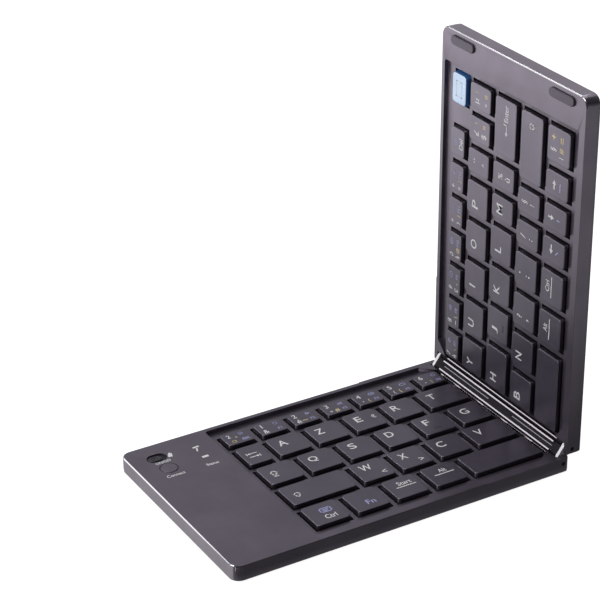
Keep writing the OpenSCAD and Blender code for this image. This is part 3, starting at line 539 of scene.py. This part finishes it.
# number rows: digit over symbol, a second symbol, then a small icon over its function's name
NL, NR = "number_keys_left", "number_keys_right"
add_text(NL, "2", 114.3, 88.5, 2.5)
add_line(NL, [(-0.2, 0.2), (0.2, -0.2)], 111.3, 86.8, 0.5, "y")
add_icon(NL, "ring", 113.7, 84, "y")
add_icon(NL, "dot_ring", 108.3, 88.7)
add_text(NL, "esc", 108, 84.1, 1.6, "l", wide=3.4)
left_row = sorted(caps[NL], key=lambda b: -b[1])[1:]
right_row = sorted(caps[NR], key=lambda b: b[0])[:6]
left_marks = (("1", "&", "", "ring", "F1"), ("2", "é", "~", "wedge", "F2"), ("3", "\"", "#", "bars", "F3"),
              ("4", "'", "{", "page", "F4"), ("5", "(", "[", "box", "F5"), ("6", "-", "|", "ring", "F6"))
right_marks = (("7", "è", "`", "wedge", "F7"), ("8", "_", "\\", "bars", "F8"),
               ("9", "ç", "^", "box", "F9"), ("0", "à", "@", "page", "F10"),
               ("°", ")", "]", "ring", "F11"), ("+", "=", "}", "wedge", "F12"))
MARK_H = {"'": 1.0, "-": 0.4, "\"": 1.0, "_": 0.4, "~": 0.8, "`": 0.8, "^": 0.9, "°": 1.2, "=": 1.2,
          "+": 2.0, "&": 2.9, "é": 3.2, "è": 3.2, "ç": 2.9, "à": 3.2}
for body, row, marks, sign, digit, second, icon in ((NL, left_row, left_marks, -1, 3.6, 6.6, 10.4),
                                                    (NR, right_row, right_marks, 1, 2.3, 5.6, 9.0)):
    for box, (upper, below, side, kind, func) in zip(row, marks):
        start = box[1] if sign < 0 else box[0]
        add_text(body, upper, start + sign * digit, 88.7, MARK_H.get(upper, 2.9))
        add_text(body, below, start + sign * digit, 84.1, MARK_H.get(below, 3.0))
        if side:
            add_text(body, side, start + sign * second, 84, MARK_H.get(side, 2.5), "y")
        add_icon(body, kind, start + sign * (icon - 0.2), 88.5)
        add_text(body, func, start + sign * icon, 84.1, 1.7, "l")
add_text(NR, "Del", 118.6 - UP0, 84.0, 2.6)
add_icon(NR, "page", 118.7 - UP0, 87.8)

# punctuation: text, height above the case's bottom, y, tall, ink
P = "punctuation_keys"
for text, z, y, tall, ink in (
        ("¨", 115, 73.8, 0.8, "w"), ("^", 115, 67.6, 1.5, "w"),
        ("£", 128, 72.8, 3.3, "w"), ("$", 127.8, 67.4, 3.8, "w"), ("]", 132.1, 73.3, 1.6, "y"),
        ("¤", 132.1, 67.6, 1.8, "y"), ("µ", 142.3, 72.6, 3.2, "w"), ("*", 142.3, 66.9, 1.8, "w"),
        ("}", 146, 73.3, 2.0, "y"), ("¤", 146, 66.8, 1.7, "y"),
        ("%", 115, 54.9, 3.1, "w"), ("ù", 115, 49.8, 3.4, "w"),
        ("?", 57.3, 37.5, 3.3, "w"), (",", 57.3, 31.7, 1.7, "w"),
        (".", 77.3, 38.5, 0.9, "w"), (";", 77.3, 32.8, 2.8, "w"),
        ("/", 94.7, 37.5, 3.5, "w"), (":", 94.6, 32, 2.4, "w"),
        ("§", 110.2, 37.3, 4.0, "w"), ("!", 110.2, 32.2, 2.8, "w"),
        ("§", 140, 19.8, 3.9, "w"), ("|", 137.7, 14.6, 2.9, "w"), ("+", 145.3, 20, 2.4, "y"),
        ("#", 140.8, 14.5, 2.6, "y"), ("=", 145.2, 14.5, 1.7, "y")):
    add_text(P, text, z - UP0, y, tall, ink)

# modifiers and the wide keys
ML, MR = "modifier_keys_left", "modifier_keys_right"
add_text(ML, "Ctrl", 108.5, 13.5, 2.9, wide=5.3)
add_line(ML, [(-2.5, -1.4), (2.5, -1.4), (2.5, 1.4), (-2.5, 1.4)], 108.3, 18.3, 0.45, "l", closed=True)
add_line(ML, [(-1.4, 0.4), (1.4, 0.4)], 108.3, 18.3, 0.5, "l")
add_line(ML, [(-1.4, -0.6), (0.6, -0.6)], 108.3, 18.3, 0.5, "l")
add_text(ML, "Fn", 89.2, 14.2, 3.2, "l", wide=4.1)
for body, text, u, y, wide in ((ML, "Start", 70.0, 19.2, 6.6), (ML, "Alt", 51.2, 19.2, 3.6),
                               (MR, "Alt", 60 - UP0, 19.4, 3.6), (MR, "Ctrl", 79.3 - UP0, 19.4, 5.0)):
    add_text(body, text, u, y, 2.7, wide=wide)
    add_line(body, [(-4.5, 0), (4.5, 0)], u + (0.3 if is_lower(body) else 0), 16.7, 0.5)
shift_arrow(ML, 112.2, 34, 3.2)
shift_arrow(ML, 112.2, 53.2, 3.4)
add_line(ML, [(-0.9, 0), (0.9, 0)], 112.2, 50.6, 0.45)
for y, way in ((71.6, -1), (69.0, 1)):
    add_arrow(ML, 112.2, y, (way, 0), 4.6, 0.45, 1.2)
    add_line(ML, [(way * 2.6, -0.7), (way * 2.6, 0.7)], 112.2, y, 0.4)
shift_arrow(MR, 144.3 - UP0, 34.8, 3.2)
add_arrow(MR, 96.4 - UP0, 18.1, (-1, 0), 4.2, 0.75, 1.9)
add_arrow(MR, 110.3 - UP0, 19.3, (0, -1), 3.8, 0.7, 1.9)
add_arrow(MR, 125.1 - UP0, 18.2, (1, 0), 4.2, 0.75, 1.9)
add_line(MR, [(-0.8, 0.8), (0.8, -0.8)], 95.8 - UP0, 14.3, 0.45, "l")
add_line(MR, [(0, 0.8), (0, -0.8)], 110.4 - UP0, 14.3, 0.5, "l")
add_line(MR, [(-1.6, 0), (1.6, 0)], 125 - UP0, 14.3, 0.6, "l")
E = "enter_key"
add_arrow(E, 136.2 - UP0, 51.9, (-1, 0), 5.0, 0.5, 1.5)
add_line(E, [(0, 0), (0, 1.8)], 138.6 - UP0, 52.0, 0.5)
add_text(E, "Enter", 143.6 - UP0, 52.3, 2.9, wide=7.4)
add_line("pairing_key", [(-3.4, -1.9), (3.4, -1.9), (3.4, 1.9), (-3.4, 1.9)], 143 - UP0, 86.5, 0.4, "w",
         closed=True)

# printed marks in the control area
SKIN = HALF_T + INK * 0.7
LOWER = "lower_half"
add_text(LOWER, "ON/OFF", 147.5, 84.6, 1.7, wide=7.2, top=SKIN)
add_text(LOWER, "Connect", 147.5, 73.1, 1.9, wide=8.4, top=SKIN)
add_text(LOWER, "Status", 130.3, 73.1, 1.9, wide=5.6, top=SKIN)
add_shape(LOWER, [(-1.3, -1.3), (0.6, -1.6), (1.4, 0.9), (0.4, 1.8), (-0.6, 0.7)], 142.6, 88.3, top=SKIN)
add_line(LOWER, [(-1.0, -0.1), (1.0, 0.1)], 130.2, 88.3, 1.0, top=SKIN)
add_line(LOWER, [(0.3, 0.9), (-0.3, -0.9)], 130.7, 86.1, 0.7, top=SKIN)
add_line(LOWER, [(-0.8, 0), (0.8, 0)], 130.2, 79.6, 1.4, top=SKIN)

for body, bm in legend_meshes.items():
    marks = add_object("legends_" + body, bm, [INKS[k] for k in ink_names], 30)
    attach(marks, body)


# -------------------------------------------------------------------- cases

LEAN = 0.3                              # a side's normal rises or falls less than this
END_ON = 0.85                           # and points to the far end by more than this at the end


def is_end_side(q, tip):
    """Whether a face at q with outward normal tip belongs to a half's far end."""
    return abs(tip.z) < LEAN and tip.x > END_ON and q.x > HALF_LEN - CORNER


def cover_faces(local):
    def index_of(p, n):
        q = Vector(local(p))
        tip = Vector(local(p + n * MM)) - q
        return 1 if is_end_side(q, tip) else 0
    return index_of


def frame_faces(local):
    """0 satin, 1 polished chamfer, 2 the switch's recess, 3 the far end's side."""
    def index_of(p, n):
        q = Vector(local(p))
        tip = Vector(local(p + n * MM)) - q
        slanted = LEAN < tip.z < 0.95 and tip.x > 0.5
        if slanted and q.z > HALF_T - CHAMFER - 0.05 and q.x > HALF_LEN - CORNER:
            return 1
        if is_end_side(q, tip):
            return 3
        sunk = RECESS_Z - 0.3 < q.z < HALF_T - 0.3
        if sunk and tip.z > 0.9 and q.x > RECESS_U and q.y > RECESS_Y:
            return 2
        return 0
    return index_of


for node, local, body in (("lower_top_frame", low_local, "lower_half"),
                          ("upper_top_frame", up_local, "upper_half")):
    shell = bevelled_copy(node, node + "_shell", [case_satin, case_chamfer, recess_black, case_side],
                          frame_faces(local))
    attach(shell, body)

for node, local, body in (("lower_bottom_cover", low_local, "lower_half"),
                          ("upper_back_cover", up_local, "upper_half")):
    shell = bevelled_copy(node, node + "_shell", [cover_satin, cover_side], cover_faces(local), width=0.12)
    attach(shell, body)

pivots = {j["name"]: Vector(j["pos_m"]) for j in frame["joints"] if j["name"].startswith("hinge_")}
spine_mid = (pivots["hinge_lower"] + pivots["hinge_upper"]) / 2
spine_along = (pivots["hinge_upper"] - pivots["hinge_lower"]).normalized()
spine_out = Vector((-spine_along.z, 0, spine_along.x))


def spine_faces(p, n):
    """Polished on the raised lips and in the groove, dark elsewhere."""
    e, h = (p - spine_mid).dot(spine_along) / MM, (p - spine_mid).dot(spine_out) / MM
    lip = h > SPINE_FACE + 0.05
    sunk = SPINE_FACE - GROOVE_DEEP < h < SPINE_FACE - 0.05
    groove = abs(e) < GROOVE_HALF and sunk and n.dot(spine_out) > 0.9
    return 1 if lip else 2 if groove else 0


def barrel_rib(e, h, name):
    """Thin flat polished rib along one of the spine's barrels, e along the pivots and h out of its face."""
    bm = bmesh.new()
    rings = []
    middle = spine_mid + spine_along * e * MM + spine_out * h * MM
    for y in (LIP_Y + 0.2, BODY_W - LIP_Y - 0.2):
        shift = Vector((0, front + y * MM - middle.y, 0))
        section = ((-RIB_W / 2, -RIB_DEEP), (RIB_W / 2, -RIB_DEEP), (RIB_W / 2, 0), (-RIB_W / 2, 0))
        rings.append([middle + (spine_along * de + spine_out * dh) * MM + shift for de, dh in section])
    skin_rings(bm, rings, lambda x, y, z: Vector((x, y, z)))
    rib = add_object(name, bm, [lip_polish], 60)
    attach(rib, "hinge_spine")


pivot_e = (pivots["hinge_upper"] - spine_mid).length / MM
barrel_rib(pivot_e + UPPER_RIB_SHIFT, BARREL_R + UPPER_RIB_PROUD, "upper_barrel_rib")
barrel_rib(-pivot_e + LOWER_RIB_SHIFT, BARREL_R + LOWER_RIB_PROUD, "lower_barrel_rib")
spine = bevelled_copy("hinge_spine", "spine_shell", [spine_dark, lip_polish, groove_polish], spine_faces,
                      width=0.16, segments=3)
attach(spine, "hinge_spine")
links = bevelled_copy("hinge_links", "link_plates", [link_polish], width=0.15)
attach(links, "hinge_spine")
pads = bevelled_copy("bumper_pads", "bumper_pad_caps", [pad_rubber], width=0.35, segments=3)
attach(pads, "upper_half")
slider = bevelled_copy("power_switch_slider", "slider_knob", [switch_black], width=0.1)
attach(slider, "power_switch_slider")
button = bevelled_copy("connect_button", "connect_cap", [case_satin], width=0.25, segments=3)
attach(button, "connect_button")


def board_faces(p, n):
    """Metal on the charging socket, black on what stands on the board, green elsewhere."""
    q = Vector(low_local(p))
    if q.y > SOCKET_Y and abs(q.x - SOCKET_U) < SOCKET_W / 2 + 0.3:
        return 2
    return 1 if q.z > BOARD_TOP + 0.1 else 0


board = bevelled_copy("main_board", "board_parts", [board_green, switch_black, pin_metal], board_faces,
                      width=0.08)
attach(board, "lower_half")


def cable_part(name, start, end, side):
    """Half of the flat cable, cut at the spine's middle and sliced across into steps from start to end."""
    bm = cad_bmesh("flex_cable")

    def cut(at, normal, clear_outer=False):
        everything = bm.verts[:] + bm.edges[:] + bm.faces[:]
        bmesh.ops.bisect_plane(bm, geom=everything, plane_co=at, plane_no=normal, clear_outer=clear_outer)

    cut(spine_mid, spine_along * side, clear_outer=True)
    bmesh.ops.holes_fill(bm, edges=[e for e in bm.edges if e.is_boundary])
    for i in range(CABLE_CUTS + 1):
        cut(start.lerp(end, i / CABLE_CUTS), end - start)
    part = add_object(name, bm, [cable_amber], 35)
    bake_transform(part)
    return part


lower_pivot, upper_pivot = pivots["hinge_lower"], pivots["hinge_upper"]
cable = cable_part("lower_cable",
                   lower_pivot + Vector((-CABLE_BEND, 0, 0)), lower_pivot + spine_along * CABLE_BEND, 1)
cable_part("upper_cable",
           upper_pivot - spine_along * CABLE_BEND, upper_pivot + Vector((0, 0, CABLE_BEND)), -1)
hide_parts("flex_cable")

for node, m in (("lower_support_plate", plate_metal), ("upper_support_plate", plate_metal),
                ("lower_membrane", film), ("upper_membrane", film),
                ("lower_feet", foot_rubber), ("upper_feet", foot_rubber),
                ("lower_screws", steel), ("upper_screws", steel),
                ("battery", foil), ("hinge_pins", pin_metal)):
    mesh = nodes[node].data
    mesh.materials.clear()
    mesh.materials.append(m)
    mesh.shade_smooth()
    mesh.set_sharp_from_angle(angle=math.radians(35))


# -------------------------------------------------------------------- stage

def node_maths(tree, operation, *values):
    """A Math node fed with sockets or plain numbers."""
    n = tree.nodes.new("ShaderNodeMath")
    n.operation = operation
    for i, v in enumerate(values):
        if isinstance(v, (int, float)):
            n.inputs[i].default_value = v
        else:
            tree.links.new(v, n.inputs[i])
    return n.outputs[0]


def ramp_between(tree, value, start, end, low_value, high_value):
    n = tree.nodes.new("ShaderNodeMapRange")
    n.interpolation_type = "SMOOTHSTEP"
    for key, v in (("From Min", start), ("From Max", end), ("To Min", low_value), ("To Max", high_value)):
        n.inputs[key].default_value = v
    tree.links.new(value, n.inputs["Value"])
    return n.outputs["Result"]


PAPER_HALF = 6.0                        # half the paper's side, in metres
PAPER_SHOWN = 0.93                      # what the paper adds where the camera sees it
PAPER_NEAR, PAPER_FRONT = 0.11, 0.42    # its glow in reflections: just in front, further in front,
PAPER_BY, PAPER_BACK = 0.52, 1.45       # beside and just behind (dim there: a painted shadow of the keyboard in reflections), far behind
FRONT_RAMP = (-0.2, -0.06)              # where along Y one glow turns into the next, in metres
BESIDE_RAMP = (-0.056, -0.044)
BEHIND_RAMP = (0.08, 0.35)
STUDIO_X = 0.5                          # how much of the world's brightness goes by X, next to Y
STUDIO_RAMP, STUDIO_DIM, STUDIO_BRIGHT = (-0.5, 0.9), 0.05, 0.38


def add_paper():
    """White floor for the camera; in reflections, a glow that changes from front to back, dim beside and
    just behind the keyboard as a painted shadow.
    """
    mesh = bpy.data.meshes.new("floor")
    s = PAPER_HALF
    mesh.from_pydata([(-s, -s, 0), (s, -s, 0), (s, s, 0), (-s, s, 0)], [], [(0, 1, 2, 3)])
    obj = bpy.data.objects.new("floor", mesh)
    scene.collection.objects.link(obj)
    m = bpy.data.materials.new("floor_paper")
    m.use_nodes = True
    tree = m.node_tree
    tree.nodes.clear()
    new, link = tree.nodes.new, tree.links.new
    out = new("ShaderNodeOutputMaterial")
    paper = new("ShaderNodeBsdfDiffuse")
    paper.inputs["Color"].default_value = (0.5, 0.5, 0.5, 1)
    shown = new("ShaderNodeEmission")
    mirrored = new("ShaderNodeEmission")
    rays = new("ShaderNodeLightPath")
    place = new("ShaderNodeTexCoord")
    split = new("ShaderNodeSeparateXYZ")
    link(place.outputs["Object"], split.inputs[0])
    y = split.outputs["Y"]
    front_rise = ramp_between(tree, y, *FRONT_RAMP, PAPER_FRONT, PAPER_NEAR)
    # dim beside and just behind the keyboard, bright far behind: painted shadow in reflections
    beside = ramp_between(tree, y, *BESIDE_RAMP, 0, PAPER_BY - PAPER_NEAR)
    behind = ramp_between(tree, y, *BEHIND_RAMP, 0, PAPER_BACK - PAPER_BY)
    glow = node_maths(tree, "ADD", node_maths(tree, "ADD", front_rise, beside), behind)
    link(glow, mirrored.inputs["Strength"])
    link(node_maths(tree, "MULTIPLY", rays.outputs["Is Camera Ray"], PAPER_SHOWN), shown.inputs["Strength"])
    lit = new("ShaderNodeAddShader")
    link(paper.outputs[0], lit.inputs[0])
    link(shown.outputs[0], lit.inputs[1])
    mix = new("ShaderNodeMixShader")
    link(rays.outputs["Is Glossy Ray"], mix.inputs[0])
    link(lit.outputs[0], mix.inputs[1])
    link(mirrored.outputs[0], mix.inputs[2])
    link(mix.outputs[0], out.inputs[0])
    mesh.materials.append(m)


def add_surroundings():
    """White where the camera looks; for the lighting, bright behind the keyboard, dim in front."""
    world = bpy.data.worlds.new("studio")
    scene.world = world
    world.use_nodes = True
    tree = world.node_tree
    tree.nodes.clear()
    new, link = tree.nodes.new, tree.links.new
    out = new("ShaderNodeOutputWorld")
    lit = new("ShaderNodeBackground")
    lit.inputs["Color"].default_value = (0.96, 0.96, 1.0, 1)
    shown = new("ShaderNodeBackground")
    shown.inputs["Color"].default_value = (1, 1, 1, 1)
    shown.inputs["Strength"].default_value = 1.0
    place = new("ShaderNodeTexCoord")
    split = new("ShaderNodeSeparateXYZ")
    link(place.outputs["Generated"], split.inputs[0])
    by_x = node_maths(tree, "MULTIPLY", split.outputs["X"], STUDIO_X)
    aside = node_maths(tree, "ADD", split.outputs["Y"], by_x)
    strength = ramp_between(tree, aside, *STUDIO_RAMP, STUDIO_DIM, STUDIO_BRIGHT)
    link(strength, lit.inputs["Strength"])
    rays = new("ShaderNodeLightPath")
    mix = new("ShaderNodeMixShader")
    link(rays.outputs["Is Camera Ray"], mix.inputs[0])
    link(lit.outputs[0], mix.inputs[1])
    link(shown.outputs[0], mix.inputs[2])
    link(mix.outputs[0], out.inputs[0])


add_paper()
add_surroundings()


def soft_light(name, where, target, size, energy):
    """A rectangular area light aimed at target, in metres and watts."""
    data = bpy.data.lights.new(name, "AREA")
    data.shape = "RECTANGLE"
    data.size, data.size_y = size
    data.energy = energy
    obj = bpy.data.objects.new(name, data)
    obj.location = where
    obj.rotation_euler = (Vector(target) - Vector(where)).to_track_quat("-Z", "Y").to_euler()
    scene.collection.objects.link(obj)


# name, place, target, size, watts
soft_light("edge_light", (-0.58, 0.86, 0.42), (0.02, 0, 0.05), (0.55, 0.5), 0.75)
soft_light("top_edge_light", (-0.245, 0.68, 0.67), (0.077, 0, 0.169), (0.3, 0.25), 0.15)
soft_light("cap_light", (0.02, 0.82, 0.76), (0.02, 0, 0.06), (0.22, 0.16), 0.7)
soft_light("side_light", (-1.3, -0.1, 0.6), (0.02, 0, 0.06), (0.8, 0.8), 7)
soft_light("top_light", (-0.1, 0.2, 1.5), (0, 0, 0), (0.9, 0.9), 6)

CAMERA_LENS, CAMERA_SENSOR = 129.68, 36                 # in mm
CAMERA_AT = Vector((-0.413398, -0.662832, 0.481675))
CAMERA_RIGHT = Vector((0.860443, -0.509512, -0.006569))
CAMERA_UP = Vector((0.237855, 0.390201, 0.889479))
CAMERA_BACK = Vector((-0.450628, -0.766902, 0.456938))

camera_data = bpy.data.cameras.new("camera")
camera_data.sensor_width = CAMERA_SENSOR
camera_data.lens = CAMERA_LENS
camera_data.clip_start = 0.05
camera_data.clip_end = 30
camera = bpy.data.objects.new("camera", camera_data)
turn = Matrix((CAMERA_RIGHT, CAMERA_UP, CAMERA_BACK)).transposed().to_4x4()
camera.matrix_world = Matrix.Translation(CAMERA_AT) @ turn
scene.collection.objects.link(camera)
scene.camera = camera
scene.view_settings.view_transform = "Standard"
